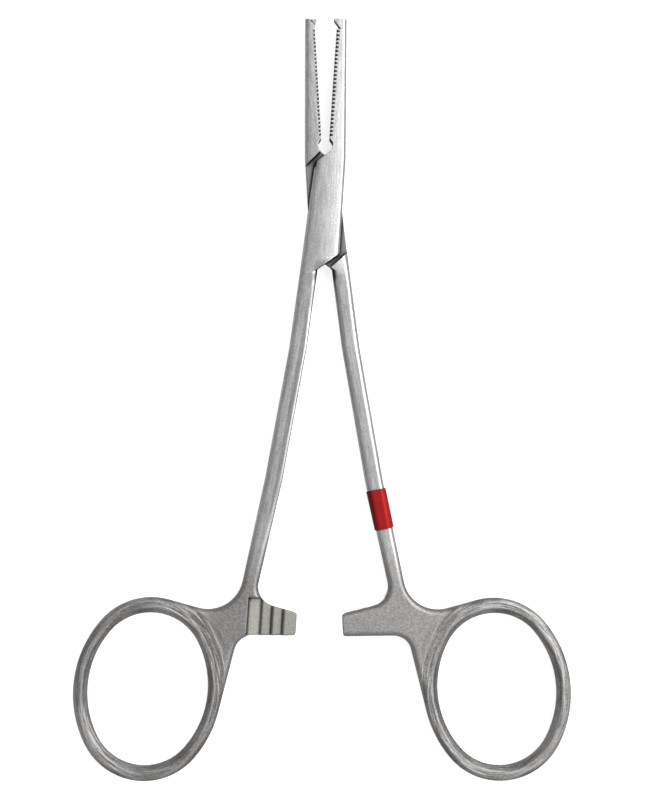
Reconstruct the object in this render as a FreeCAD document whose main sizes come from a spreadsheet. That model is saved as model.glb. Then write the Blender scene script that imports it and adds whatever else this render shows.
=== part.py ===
import FreeCAD, Part
import math
import os
import Sketcher

# Mosquito forceps with a box lock, 12.5 cm class, opened a little.
#
# Frame: X across the rings, Y from the rings to the jaw tips, Z through the
# thickness. The origin is on the pivot axis, on the back face of the box.
# Each half is drawn as it stands when the jaws are shut, with the bite face
# on the plane x = 0, and is then turned about the pivot by half the opening.
# The box half has its ring on the left; the male half has the same outline,
# mirrored in x.

doc = FreeCAD.newDocument("hemostat")
sheet = doc.addObject("Spreadsheet::Sheet", "Sizes")

SIZES = (
    ("half_opening", 3.5, "each half is turned from shut by this many degrees"),
    # thicknesses, all about the same middle plane
    ("box_thick", 3.6, "box, front to back"),
    ("handle_thick", 2.6, "shanks and rings"),
    ("tip_thick", 1.9, "jaws at the tip"),
    ("box_low_y", 11.0, "below the pivot: shank starts to thin"),
    ("handle_high_y", 17.0, "below the pivot: corner where the thinning ends"),
    ("handle_blend", 10.0, "rounding of that corner"),
    ("box_high_y", 9.8, "above the pivot: jaw starts to thin"),
    ("neck_thick", 1.2, "male neck inside the box"),
    ("neck_play", 0.05, "clearance over and under the neck"),
    ("pin_radius", 1.1, "pivot pin"),
    ("pin_play", 0.04, "radial clearance of the neck on the pin"),
    # jaws
    ("jaw_top", 30.45, "pivot to the end of the jaws"),
    ("tip_width", 1.5, "one jaw at its end"),
    ("back_width", 2.79, "back of a jaw where it is parallel to the bite face"),
    ("back_start", 7.8, "bend where the back starts to taper, before rounding"),
    ("back_bend", 20.0, "rounding of that bend"),
    ("bite_start", 10.95, "lower end of the bite face"),
    ("relief_x", 0.62, "deepest corner of the relief below it, before rounding"),
    ("relief_y", 10.2, "height of that corner"),
    ("relief_round", 0.45, "its rounding"),
    # serrations
    ("groove_first", 11.47, "height of the lowest groove"),
    ("groove_count", 27, "grooves in each jaw"),
    ("groove_pitch", 0.65, "groove to groove"),
    ("groove_wide", 0.42, "groove at the bite face"),
    ("groove_floor", 0.16, "groove at its floor"),
    ("groove_deep", 0.45, "groove depth"),
    # one tooth between two at the jaw ends
    ("notch_low", 28.65, "bite face ends here, below the tooth"),
    ("notch_rise", 0.15, "floor of the notch above its mouth"),
    ("notch_deep", 0.65, "notch under the outer teeth, into the jaw"),
    ("hook_reach", 0.58, "outer teeth reach beyond the bite face"),
    ("hook_low", 0.23, "their points lie this far below the jaw end"),
    ("mid_notch_deep", 0.22, "notch under the middle tooth"),
    ("mid_reach", 0.41, "middle tooth reaches beyond the bite face"),
    ("mid_low", 0.3, "its point lies this far below the jaw end"),
    ("mid_thick", 0.44, "middle tooth, front to back"),
    ("tooth_draft", 0.08, "teeth lean back from point to jaw end"),
    ("tooth_play", 0.12, "clearance between the teeth, sideways"),
    ("tooth_drop", 0.19, "clearance under the outer teeth, upright"),
    ("flank_start", 0.2, "cut beside the middle tooth starts this far out"),
    # box
    ("mouth_out_x", 2.2, "upper mouth edge, outer end"),
    ("mouth_out_y", 6.78, "upper mouth edge, outer end"),
    ("mouth_in_x", 0.4, "upper mouth edge, inner end, into the jaw"),
    ("mouth_in_y", 9.07, "upper mouth edge, inner end"),
    ("heel_y", 7.5, "lower mouth edge, outer end, below the pivot"),
    ("fork_x", 0.55, "fork of box and shank, from the axis"),
    ("fork_y", 10.1, "fork of box and shank, below the pivot"),
    ("shoulder_rise", 0.5, "shoulder above the mouth edge, jaws shut"),
    ("slot_rise", 0.3, "slot end above the neck edge, jaws shut"),
    # shanks
    ("shank_top_x", 3.1, "outer edge of the shank at the box"),
    ("shank_top_y", 7.2, "height of that point, below the pivot"),
    ("out_knee_x", 4.27, "upper bend of the outer edge, before rounding"),
    ("out_knee_y", 23.0, "height of that bend, below the pivot"),
    ("out_calf_x", 6.79, "lower bend of the outer edge, before rounding"),
    ("out_calf_y", 44.4, "height of that bend, below the pivot"),
    ("in_knee_x", 1.46, "upper bend of the inner edge, before rounding"),
    ("in_knee_y", 23.0, "height of that bend, below the pivot"),
    ("in_calf_x", 3.98, "lower bend of the inner edge, before rounding"),
    ("in_calf_y", 44.6, "height of that bend, below the pivot"),
    ("bend_round", 20.0, "rounding of these four bends"),
    # web and ratchet arm, heights above the ring centre
    ("web_gap", 1.3, "corner of shank and ring, before rounding, in from the ring"),
    ("web_up", 12.3, "height of that corner"),
    ("web_round", 5.7, "its rounding"),
    ("arm_root_x", 7.21, "corner of shank and arm, before rounding"),
    ("arm_root_up", 15.3, "height of that corner"),
    ("arm_root_round", 3.2, "its rounding"),
    ("arm_top_up", 13.75, "upper edge of the arm at its tip"),
    ("arm_low_up", 10.1, "lower edge of the arm at its tip"),
    ("arm_tip_round", 0.45, "corners of the arm tip"),
    ("under_gap", 2.08, "corner of arm and ring, before rounding, in from the ring"),
    ("under_up", 9.63, "height of that corner"),
    ("under_round", 3.0, "its rounding"),
    ("arm_short", 0.2, "box half: arm tip short of the middle"),
    ("arm_over", 1.0, "male half: arm tip beyond the middle"),
    # ratchet teeth, counted from the arm tip
    ("ratchet_up", 15.9, "upper end of the milled seat, above the ring centre"),
    ("ratchet_seat", 8.0, "milled seat, along the arm"),
    ("ratchet_land", 2.0, "arm tip to the first crest"),
    ("ratchet_lean", 0.35, "crest to the foot of its steep face, along the arm"),
    ("ratchet_pitch", 1.8, "tooth to tooth"),
    ("ratchet_count", 3, "teeth on each arm"),
    ("ratchet_half", 0.25, "tooth crest and root, off the middle plane"),
    # finger rings, each outline an oval of four arcs
    ("ring_x", 23.5, "ring centre from the axis"),
    ("ring_y", 79.7, "ring centre below the pivot"),
    ("ring_lean", 3.5, "long axis leans in at the top, degrees"),
    ("ring_half_wide", 11.95, "outer half width"),
    ("ring_half_long", 14.85, "outer half length"),
    ("ring_end_round", 10.7, "outline radius at both ends"),
    ("rim_side", 2.25, "metal left beside the hole"),
    ("rim_end", 2.4, "metal left at both ends of the hole"),
    ("hole_end_round", 8.5, "hole radius at both ends"),
    # rounded edges
    ("rim_round", 0.8, "outside of the rings, webs and shanks"),
    ("hole_bevel", 0.75, "inside of the rings, along the thickness"),
    ("hole_flare", 45.0, "that bevel leans from upright, degrees"),
    ("back_round", 0.6, "backs of the jaws"),
    # marking band
    ("band_long", 6.35, "band along the shank"),
    ("band_wrap", 0.2, "thickness of the wrap"),
    ("band_x", 6.27, "middle of the band from the axis"),
    ("band_y", 49.4, "middle of the band below the pivot"),
    ("band_turn", 8.4, "shank leans out here, degrees"),
    # cutting outlines run past the metal
    ("past_edge", 1.0, "beyond a face or an end"),
    ("past_bite", 0.3, "groove outline in front of the bite face"),
    ("past_lock", 12.0, "slot and neck outlines, from the axis"),
)

# Web and arm keep their place beside the ring: distances below the pivot and
# from the axis that follow it.
WEB_X = "( ring_x - ring_half_wide - web_gap )"
WEB_Y = "( ring_y - web_up )"
ARM_ROOT_Y = "( ring_y - arm_root_up )"
ARM_TOP_Y = "( ring_y - arm_top_up )"
ARM_LOW_Y = "( ring_y - arm_low_up )"
UNDER_X = "( ring_x - ring_half_wide - under_gap )"
UNDER_Y = "( ring_y - under_up )"
RATCHET_Y = "( ring_y - ratchet_up )"

ALIASES = {alias for alias, value, note in SIZES}
for row, (alias, value, note) in enumerate(SIZES, start=1):
    sheet.set("A%d" % row, note)
    sheet.set("B%d" % row, str(value))
    sheet.setAlias("B%d" % row, alias)
doc.recompute()


def of_sheet(text):
    """Expression with every alias written as a cell of the sheet."""
    words = []
    for word in text.replace("(", " ( ").replace(")", " ) ").split():
        words.append("Sizes." + word if word in ALIASES else word)
    return " ".join(words).replace("cos (", "cos(").replace("sin (", "sin(")


def value_of(text):
    """Number an expression of the sheet stands for, in mm or degrees."""
    return float(sheet.evalExpression(of_sheet(text)))


def point_of(x_text, y_text):
    """Sketch point given by two expressions."""
    return FreeCAD.Vector(value_of(x_text), value_of(y_text), 0)


def own_x(text, side):
    """Expression mirrored for the half that has its ring on the right."""
    return text if side > 0 else "0 - ( " + text + " )"


def plane_of(body, role):
    """One of the body's own origin planes or axes."""
    return [item for item in body.Origin.OriginFeatures if item.Role == role][0]


def add_sketch(body, name, role, offset=None):
    """Empty sketch on an origin plane of the body, moved along its normal."""
    sketch = body.newObject("Sketcher::SketchObject", name)
    sketch.AttachmentSupport = [(plane_of(body, role), "")]
    sketch.MapMode = "FlatFace"
    if offset:
        sketch.setExpression("AttachmentOffset.Base.z", of_sheet(offset))
    doc.recompute()
    return sketch


def bind(sketch, constraint, text):
    """Add a dimension and tie it to the sheet."""
    index = sketch.addConstraint(constraint)
    sketch.setExpression("Constraints[%d]" % index, of_sheet(text))


def pin_x(sketch, element, place, text):
    """Fix one sketch point sideways."""
    bind(sketch, Sketcher.Constraint("DistanceX", -1, 1, element, place, value_of(text)), text)


def pin_y(sketch, element, place, text):
    """Fix one sketch point upwards."""
    bind(sketch, Sketcher.Constraint("DistanceY", -1, 1, element, place, value_of(text)), text)


def pin_down(sketch, element, place, x_text, y_text):
    """Fix a sketch point by its two coordinates."""
    pin_x(sketch, element, place, x_text)
    pin_y(sketch, element, place, y_text)


def set_radius(sketch, element, text):
    """Tie the radius of an arc or a circle to the sheet."""
    bind(sketch, Sketcher.Constraint("Radius", element, value_of(text)), text)


def add_line(sketch, start, end):
    """Line as (element, end it starts at, end it stops at)."""
    return sketch.addGeometry(Part.LineSegment(start, end), False), 1, 2


def add_arc(sketch, middle, start, end):
    """Short arc from start to end, as (element, end it starts at, end it stops at)."""
    clockwise = (start - middle).cross(end - middle).z < 0
    first, last = (end, start) if clockwise else (start, end)
    low = math.atan2(first.y - middle.y, first.x - middle.x)
    high = math.atan2(last.y - middle.y, last.x - middle.x)
    if high < low:
        high += 2 * math.pi
    circle = Part.Circle(middle, FreeCAD.Vector(0, 0, 1), middle.distanceToPoint(start))
    element = sketch.addGeometry(Part.ArcOfCircle(circle, low, high), False)
    return (element, 2, 1) if clockwise else (element, 1, 2)


def join(sketch, kind, one, two):
    """Tangent or Coincident, from where one edge stops to where the next starts."""
    sketch.addConstraint(Sketcher.Constraint(kind, one[0], one[2], two[0], two[1]))


def polygon(sketch, corners):
    """Closed outline of straight lines through corners given as expressions."""
    points = [point_of(x, y) for x, y in corners]
    lines = [add_line(sketch, start, end) for start, end in zip(points, points[1:] + points[:1])]
    for line, following in zip(lines, lines[1:] + lines[:1]):
        join(sketch, "Coincident", line, following)
    for line, (x, y) in zip(lines, corners):
        pin_down(sketch, line[0], 1, x, y)


class Oval:
    """Leaning oval of four tangent arcs: inner side, low end, outer side, top end."""

    def __init__(self, side, long, wide, end):
        along = "( %s - %s )" % (long, end)
        flank = "( %s ^ 2 + %s ^ 2 - %s ^ 2 ) / ( 2 * ( %s - %s ) )" % (along, wide, end, wide, end)
        across = "( %s - %s )" % (flank, wide)
        lean_x = "sin ( ring_lean )"
        lean_y = "cos ( ring_lean )"
        self.arcs = []
        for radius, x_text, y_text in (
            (flank, " - " + across + " * " + lean_y, " + " + across + " * " + lean_x),
            (end, " - " + along + " * " + lean_x, " - " + along + " * " + lean_y),
            (flank, " + " + across + " * " + lean_y, " - " + across + " * " + lean_x),
            (end, " + " + along + " * " + lean_x, " + " + along + " * " + lean_y),
        ):
            self.arcs.append((own_x("0 - ring_x" + x_text, side), "0 - ring_y" + y_text, radius))

    def joint(self, index):
        """Point where an arc meets the next one."""
        one = self.arcs[index]
        two = self.arcs[(index + 1) % 4]
        wide, tight = (one, two) if index % 2 == 0 else (two, one)
        middle = point_of(*wide[:2])
        ahead = (point_of(*tight[:2]) - middle).normalize()
        return middle + ahead * value_of(wide[2])

    def touching(self, index, point, other):
        """Point where a tangent from outside meets an arc, on the side away from another point."""
        middle = point_of(*self.arcs[index][:2])
        radius = value_of(self.arcs[index][2])
        away = point - middle
        heading = math.atan2(away.y, away.x)
        swing = math.acos(radius / away.Length)
        found = []
        for angle in (heading - swing, heading + swing):
            found.append(middle + FreeCAD.Vector(math.cos(angle), math.sin(angle), 0) * radius)
        return max(found, key=lambda spot: spot.distanceToPoint(other))

    def lay(self, sketch, start, end):
        """Add the arcs from a point on the inner side round to a point on the top end."""
        laid = []
        spots = [start, self.joint(0), self.joint(1), self.joint(2), end]
        for (x_text, y_text, radius), came, goes in zip(self.arcs, spots, spots[1:]):
            edge = add_arc(sketch, point_of(x_text, y_text), came, goes)
            set_radius(sketch, edge[0], radius)
            laid.append(edge)
        for one, two in zip(laid, laid[1:]):
            join(sketch, "Tangent", one, two)
        for index in (1, 3):
            pin_down(sketch, laid[index][0], 3, *self.arcs[index][:2])
        return laid


class Outline:
    """Closed outline met corner by corner, clockwise seen from the front.

    A corner is sharp or rounded by a tangent arc. An edge is a line, or an
    oval with a tangent line on each side.
    """

    def __init__(self, sketch, side):
        self.sketch = sketch
        self.side = side
        self.corners = []
        self.edges = []

    def corner(self, x_text, y_text, rounding=None, edge="line"):
        """Next corner, with its rounding and the edge that leaves it."""
        self.corners.append((own_x(x_text, self.side), y_text, rounding))
        self.edges.append(edge)

    def draw(self, oval=None):
        """Add the geometry and its constraints."""
        sketch = self.sketch
        count = len(self.corners)
        points = [point_of(x_text, y_text) for x_text, y_text, rounding in self.corners]
        # The corner behind and the corner ahead, as each corner sees them.
        behind = [points[index - 1] for index in range(count)]
        ahead = [points[(index + 1) % count] for index in range(count)]
        if oval:
            into = self.edges.index("oval")
            out = (into + 1) % count
            ahead[into] = oval.touching(0, points[into], points[out])
            behind[out] = oval.touching(3, points[out], points[into])

        roundings = {}
        for index, (x_text, y_text, rounding) in enumerate(self.corners):
            if rounding:
                back = (behind[index] - points[index]).normalize()
                forth = (ahead[index] - points[index]).normalize()
                half = back.getAngle(forth) / 2
                reach = value_of(rounding) / math.tan(half)
                deep = value_of(rounding) / math.sin(half)
                middle = points[index] + (back + forth).normalize() * deep
                roundings[index] = (points[index] + back * reach, points[index] + forth * reach, middle)

        def leaving(index):
            return roundings[index][1] if index in roundings else points[index]

        def arriving(index):
            return roundings[index][0] if index in roundings else points[index]

        laid = []
        for index, kind in enumerate(self.edges):
            following = (index + 1) % count
            start = leaving(index)
            end = arriving(following)
            if kind == "line":
                laid.append([add_line(sketch, start, end)])
            else:
                first = add_line(sketch, start, ahead[into])
                arcs = oval.lay(sketch, ahead[into], behind[out])
                last = add_line(sketch, behind[out], end)
                join(sketch, "Tangent", first, arcs[0])
                join(sketch, "Tangent", arcs[-1], last)
                pin_x(sketch, arcs[0][0], 3, oval.arcs[0][0])
                laid.append([first] + arcs + [last])

        for index, (x_text, y_text, rounding) in enumerate(self.corners):
            came = laid[index - 1][-1]
            goes = laid[index][0]
            if rounding:
                enter, leave, middle = roundings[index]
                bend = add_arc(sketch, middle, enter, leave)
                spot = sketch.addGeometry(Part.Point(points[index]), True)
                join(sketch, "Tangent", came, bend)
                join(sketch, "Tangent", bend, goes)
                set_radius(sketch, bend[0], rounding)
                pin_down(sketch, spot, 1, x_text, y_text)
                sketch.addConstraint(Sketcher.Constraint("PointOnObject", spot, 1, came[0]))
                sketch.addConstraint(Sketcher.Constraint("PointOnObject", spot, 1, goes[0]))
            else:
                join(sketch, "Coincident", came, goes)
                pin_down(sketch, goes[0], goes[1], x_text, y_text)


def draw_half(body, side):
    """Front outline of one half, drawn on the back face of the box."""
    sketch = add_sketch(body, body.Name + "_outline", "XY_Plane")
    outline = Outline(sketch, side)
    if side > 0:
        reach, low, deep = "hook_reach", "hook_low", "notch_deep"
    else:
        reach, low, deep = "mid_reach", "mid_low", "mid_notch_deep"
    outline.corner("tooth_draft - " + reach, "jaw_top")
    outline.corner("tip_width", "jaw_top")
    outline.corner("back_width", "back_start", "back_bend")
    outline.corner("back_width", "0 - heel_y")
    outline.corner("0 - fork_x", "0 - fork_y")
    outline.corner("0 - in_knee_x", "0 - in_knee_y", "bend_round")
    outline.corner("0 - in_calf_x", "0 - in_calf_y", "bend_round")
    outline.corner("0 - arm_root_x", "0 - " + ARM_ROOT_Y, "arm_root_round")
    outline.corner(arm_tip(side), "0 - " + ARM_TOP_Y)
    outline.corner(arm_tip(side), "0 - " + ARM_LOW_Y)
    outline.corner("0 - " + UNDER_X, "0 - " + UNDER_Y, "under_round", "oval")
    outline.corner("0 - " + WEB_X, "0 - " + WEB_Y, "web_round")
    outline.corner("0 - out_calf_x", "0 - out_calf_y", "bend_round")
    outline.corner("0 - out_knee_x", "0 - out_knee_y", "bend_round")
    outline.corner("0 - shank_top_x", "0 - shank_top_y")
    outline.corner("0 - mouth_out_x", "mouth_out_y")
    outline.corner("mouth_in_x", "mouth_in_y")
    outline.corner("relief_x", "relief_y", "relief_round")
    outline.corner("0", "bite_start")
    outline.corner("0", "notch_low")
    outline.corner(deep, "notch_low + notch_rise")
    outline.corner("0 - " + reach, "jaw_top - " + low)
    outline.draw(Oval(side, "ring_half_long", "ring_half_wide", "ring_end_round"))
    doc.recompute()
    return sketch


def arm_tip(side):
    """Where the ratchet arm of a half ends, measured towards its jaw."""
    return "0 - arm_short" if side > 0 else "arm_over"


def add_cut(body, sketch, name, length=None, both_ways=False, backwards=False, flare=None):
    """Pocket that must take metal away; all the way through by default."""
    before = body.Shape.Volume
    cut = body.newObject("PartDesign::Pocket", name)
    cut.Profile = sketch
    if length:
        cut.setExpression("Length", of_sheet(length))
    else:
        cut.Type = "ThroughAll"
    if both_ways:
        cut.SideType = "Symmetric"
    cut.Reversed = backwards
    if flare:
        cut.setExpression("TaperAngle", of_sheet(flare))
    body.Tip = cut
    doc.recompute()
    if not cut.Shape.Volume < before - 1e-3:
        raise RuntimeError(name + " took nothing away")
    return cut


def straight_rims(shape, keep):
    """Names of the straight edges between an end skin and an upright wall."""
    names = []
    for number, edge in enumerate(shape.Edges, start=1):
        middle = edge.valueAt((edge.FirstParameter + edge.LastParameter) / 2)
        if not isinstance(edge.Curve, Part.Line) or not keep(edge.BoundBox, middle):
            continue
        faces = shape.ancestorsOfType(edge, Part.Face)
        tilts = [abs(face.normalAt(*face.Surface.parameter(middle)).z) for face in faces]
        if min(tilts) < 0.2 and max(tilts) > 0.9:
            names.append("Edge%d" % number)
    return names


def add_rounding(body, name, radius, edges):
    """Fillet along the edges and whatever continues them smoothly.

    One edge is enough to carry the fillet along its whole chain, so the list
    may start with any of them: the first start that closes is kept.
    """
    base = body.Tip
    rounding = body.newObject("PartDesign::Fillet", name)
    rounding.setExpression("Radius", of_sheet(radius))
    body.Tip = rounding
    for first in range(len(edges)):
        rounding.Base = (base, edges[first:] + edges[:first])
        doc.recompute()
        shape = rounding.Shape
        if rounding.isValid() and not shape.isNull() and shape.isValid() and shape.Volume < base.Shape.Volume:
            return
    raise RuntimeError(name + " could not be made")


def thin_down(body):
    """Cut the plate to its thickness profile, seen from the side."""
    sketch = add_sketch(body, body.Name + "_side_view", "YZ_Plane")
    ring_end = "0 - ring_y - ring_half_long - past_edge"
    jaw_end = "jaw_top + past_edge"
    low = "0 - box_low_y"
    for face, sign in (("box_thick", "+"), ("0", "-")):
        beyond = face + " " + sign + " past_edge"
        handle = "( box_thick " + sign + " handle_thick ) / 2"
        tip = "( box_thick " + sign + " tip_thick ) / 2"
        below = Outline(sketch, 1)
        below.corner(ring_end, handle)
        below.corner("0 - handle_high_y", handle, "handle_blend")
        below.corner(low, face)
        below.corner(low, beyond)
        below.corner(ring_end, beyond)
        below.draw()
        polygon(sketch, (("box_high_y", face), (jaw_end, tip), (jaw_end, beyond), ("box_high_y", beyond)))
    doc.recompute()
    add_cut(body, sketch, body.Name + "_thinned", "3 * ( ring_x + ring_half_wide )", both_ways=True)


def hole_outline(body, side, name, offset=None):
    """Oval of the finger hole, on a plane across the ring."""
    sketch = add_sketch(body, body.Name + name, "XY_Plane", offset)
    oval = Oval(side, "( ring_half_long - rim_end )", "( ring_half_wide - rim_side )", "hole_end_round")
    arcs = oval.lay(sketch, oval.joint(3), oval.joint(3))
    join(sketch, "Tangent", arcs[-1], arcs[0])
    doc.recompute()
    return sketch


def open_ring(body, side):
    """Finger hole through the ring."""
    outline = hole_outline(body, side, "_hole_outline")
    add_cut(body, outline, body.Name + "_finger_hole", both_ways=True)


def flare_ring(body, side):
    """Bevel round the finger hole on both faces, cut outwards as the hole widens."""
    front = hole_outline(body, side, "_front_bevel_outline", "( box_thick + handle_thick ) / 2 - hole_bevel")
    add_cut(body, front, body.Name + "_front_bevel", "hole_bevel", backwards=True, flare="hole_flare")
    back = hole_outline(body, side, "_back_bevel_outline", "( box_thick - handle_thick ) / 2 + hole_bevel")
    add_cut(body, back, body.Name + "_back_bevel", "hole_bevel", flare="hole_flare")


def round_rims(body, side):
    """Round the ring, web and shank on both faces, then the jaw's back."""
    arm_low = -value_of(ARM_LOW_Y + " + past_edge")
    web = -value_of(WEB_Y + " - past_edge")
    back = value_of("tip_width") * 0.9
    jaw = value_of("back_start")
    heel = -value_of("heel_y") - 0.5
    middle_z = value_of("box_thick / 2")

    def on_handle(box):
        return box.YMin > arm_low and box.YMax < web or box.XLength > value_of("arm_root_x") / 2

    def on_back(box, middle):
        return middle.x * side > back and jaw - 1 > box.YMin > heel

    for front in (True, False):
        def on_face(box, middle):
            return (middle.z > middle_z) == front and on_handle(box)
        name = body.Name + ("_front" if front else "_back") + "_rounded"
        add_rounding(body, name, "rim_round", straight_rims(body.Shape, on_face))
    add_rounding(body, body.Name + "_jaw_rounded", "back_round", straight_rims(body.Shape, on_back))


def lock_outline(body, name, side, rise, offset):
    """Band across the box between its two slanting ends, moved out by a rise."""
    sketch = add_sketch(body, name, "XY_Plane", offset)
    upper_slope = "( mouth_in_y - mouth_out_y ) / ( mouth_out_x + mouth_in_x )"
    lower_slope = "( fork_y - heel_y ) / ( back_width + fork_x )"
    upper_right = "mouth_out_y + " + rise + " - ( past_lock - mouth_out_x ) * " + upper_slope
    upper_left = "mouth_out_y + " + rise + " + ( past_lock + mouth_out_x ) * " + upper_slope
    lower_right = "0 - heel_y - " + rise + " - ( past_lock + back_width ) * " + lower_slope
    lower_left = "0 - heel_y - " + rise + " + ( past_lock - back_width ) * " + lower_slope
    right = own_x("past_lock", side)
    left = own_x("0 - past_lock", side)
    polygon(sketch, ((right, upper_right), (left, upper_left), (left, lower_left), (right, lower_right)))
    doc.recompute()
    return sketch


def cut_slot(body, side):
    """Slot through the box for the neck of the other half."""
    sketch = lock_outline(body, "slot_outline", side, "slot_rise", "box_thick / 2")
    add_cut(body, sketch, "slot", "neck_thick + 2 * neck_play", both_ways=True)


def cut_neck(body, side):
    """Thin the crossing part to the neck, from the front and from the back."""
    front = lock_outline(body, "neck_front_outline", side, "shoulder_rise", "( box_thick + neck_thick ) / 2")
    add_cut(body, front, "neck_front", backwards=True)
    back = lock_outline(body, "neck_back_outline", side, "shoulder_rise", "( box_thick - neck_thick ) / 2")
    add_cut(body, back, "neck_back")


def drill_pin_hole(body, radius):
    """Pivot hole straight through."""
    sketch = add_sketch(body, body.Name + "_pin_circle", "XY_Plane")
    circle = Part.Circle(FreeCAD.Vector(0, 0, 0), FreeCAD.Vector(0, 0, 1), value_of(radius))
    element = sketch.addGeometry(circle, False)
    sketch.addConstraint(Sketcher.Constraint("Coincident", element, 3, -1, 1))
    set_radius(sketch, element, radius)
    doc.recompute()
    add_cut(body, sketch, body.Name + "_pin_hole", both_ways=True)


def cut_serrations(body, side):
    """Cross grooves up the bite face."""
    sketch = add_sketch(body, body.Name + "_groove_outline", "XY_Plane")
    mouth = own_x("0 - past_bite", side)
    floor = own_x("groove_deep", side)
    flank = "( groove_wide - groove_floor ) / 2 / groove_deep"
    spread = "( groove_wide / 2 + past_bite * " + flank + " )"
    polygon(sketch, (
        (mouth, "groove_first - " + spread),
        (floor, "groove_first - groove_floor / 2"),
        (floor, "groove_first + groove_floor / 2"),
        (mouth, "groove_first + " + spread),
    ))
    doc.recompute()
    groove = add_cut(body, sketch, body.Name + "_groove", both_ways=True)
    before = groove.Shape.Volume
    row = body.newObject("PartDesign::LinearPattern", body.Name + "_grooves")
    row.Originals = [groove]
    row.Direction = (plane_of(body, "Y_Axis"), [""])
    row.setExpression("Occurrences", of_sheet("groove_count"))
    row.setExpression("Length", of_sheet("groove_pitch * ( groove_count - 1 )"))
    body.Tip = row
    doc.recompute()
    if not row.Shape.Volume < before - 1:
        raise RuntimeError("the serrations are missing")


def cut_tooth_gap(body):
    """Box half: gap between its two end teeth, for the middle tooth."""
    sketch = add_sketch(body, "tooth_gap_outline", "XY_Plane", "box_thick / 2")
    floor = "mid_reach + tooth_play"
    outside = "0 - hook_reach - past_edge"
    end = "jaw_top + past_edge"
    polygon(sketch, ((outside, "notch_low"), (floor, "notch_low"), (floor, end), (outside, end)))
    doc.recompute()
    add_cut(body, sketch, "tooth_gap", "mid_thick + 2 * tooth_play", both_ways=True)


def cut_tooth_flanks(body):
    """Male half: both sides of its tooth cut back for the two outer teeth."""
    floor = "0 - hook_reach - tooth_play"
    outside = "mid_reach + past_edge"
    end = "jaw_top + past_edge"
    # The underside of the outer teeth is a slope; the cut runs below it.
    slope = "( jaw_top - hook_low - notch_low - notch_rise ) / ( hook_reach + notch_deep )"
    foot = "notch_low + notch_rise - tooth_drop + "
    low_edge = foot + "( notch_deep - flank_start ) * " + slope
    high_edge = foot + "( notch_deep + hook_reach ) * " + slope
    for name, offset, backwards in (
        ("tooth_front", "( box_thick + mid_thick ) / 2", True),
        ("tooth_back", "( box_thick - mid_thick ) / 2", False),
    ):
        sketch = add_sketch(body, name + "_outline", "XY_Plane", offset)
        polygon(sketch, (
            (outside, low_edge),
            ("flank_start", low_edge),
            (floor, high_edge),
            (floor, end),
            (outside, end),
        ))
        doc.recompute()
        add_cut(body, sketch, name, backwards=backwards)


def cut_ratchet(body, side):
    """Mill the seat with its teeth into one face of the ratchet arm."""
    sketch = add_sketch(body, body.Name + "_ratchet_outline", "XZ_Plane", RATCHET_Y)
    front = side > 0
    root = "box_thick / 2 - ratchet_half" if front else "box_thick / 2 + ratchet_half"
    crest = "box_thick / 2 + ratchet_half" if front else "box_thick / 2 - ratchet_half"
    beyond = "box_thick + past_edge" if front else "0 - past_edge"

    def from_tip(text):
        return own_x(arm_tip(side) + " - " + text, side)

    outside = from_tip("( 0 - past_edge )")
    corners = [(outside, beyond), (outside, root), (from_tip("0"), root)]
    for tooth in range(int(value_of("ratchet_count"))):
        top = "ratchet_land + %d * ratchet_pitch" % tooth
        corners.append((from_tip("( " + top + " )"), crest))
        corners.append((from_tip("( " + top + " + ratchet_lean )"), root))
    corners.append((from_tip("ratchet_seat"), root))
    corners.append((from_tip("ratchet_seat"), beyond))
    polygon(sketch, corners)
    doc.recompute()
    down = UNDER_Y + " - " + RATCHET_Y + " + 2 * past_edge"
    add_cut(body, sketch, body.Name + "_ratchet", down, backwards=True)


def trim_arm_tip(body, side):
    """Round both corners of the arm tip, seen from the front."""
    sketch = add_sketch(body, body.Name + "_arm_tip_outline", "XY_Plane")
    tip = arm_tip(side)
    for edge, outward in ((ARM_TOP_Y, "-"), (ARM_LOW_Y, "+")):
        inward = "+" if outward == "-" else "-"
        level = "0 - ( " + edge + " )"
        start_level = "0 - ( " + edge + " " + inward + " arm_tip_round )"
        beyond = "0 - ( " + edge + " " + outward + " past_edge )"
        back = own_x(tip + " - arm_tip_round", side)
        out = own_x(tip + " + past_edge", side)
        end = own_x(tip, side)
        start = point_of(back, level)
        stop = point_of(end, start_level)
        bend = add_arc(sketch, point_of(back, start_level), start, stop)
        corners = ((end, start_level), (out, start_level), (out, beyond), (back, beyond), (back, level))
        points = [point_of(*spot) for spot in corners]
        lines = [add_line(sketch, one, two) for one, two in zip(points, points[1:])]
        for one, two in zip([bend] + lines, lines + [bend]):
            join(sketch, "Coincident", one, two)
        for line, spot in zip(lines, corners):
            pin_down(sketch, line[0], 1, *spot)
        pin_down(sketch, bend[0], 3, back, start_level)
        pin_x(sketch, lines[-1][0], 2, back)
    doc.recompute()
    add_cut(body, sketch, body.Name + "_arm_tip", both_ways=True)


half = {}
for name, side in (("box_half", 1), ("male_half", -1)):
    body = doc.addObject("PartDesign::Body", name)
    half[name] = body
    plate_outline = draw_half(body, side)
    plate = body.newObject("PartDesign::Pad", name + "_plate")
    plate.Profile = plate_outline
    plate.setExpression("Length", of_sheet("box_thick"))
    body.Tip = plate
    doc.recompute()
    thin_down(body)
    open_ring(body, side)
    round_rims(body, side)
    flare_ring(body, side)
    if side > 0:
        cut_slot(body, side)
        cut_tooth_gap(body)
        drill_pin_hole(body, "pin_radius")
    else:
        cut_neck(body, side)
        cut_tooth_flanks(body)
        drill_pin_hole(body, "pin_radius + pin_play")
    cut_serrations(body, side)
    cut_ratchet(body, side)
    trim_arm_tip(body, side)
    turn = "0 - half_opening" if side > 0 else "half_opening"
    body.setExpression("Placement.Rotation.Angle", of_sheet(turn))

pivot = doc.addObject("Part::Cylinder", "pivot_pin")
pivot.setExpression("Radius", of_sheet("pin_radius"))
pivot.setExpression("Height", of_sheet("box_thick"))
doc.recompute()

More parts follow.
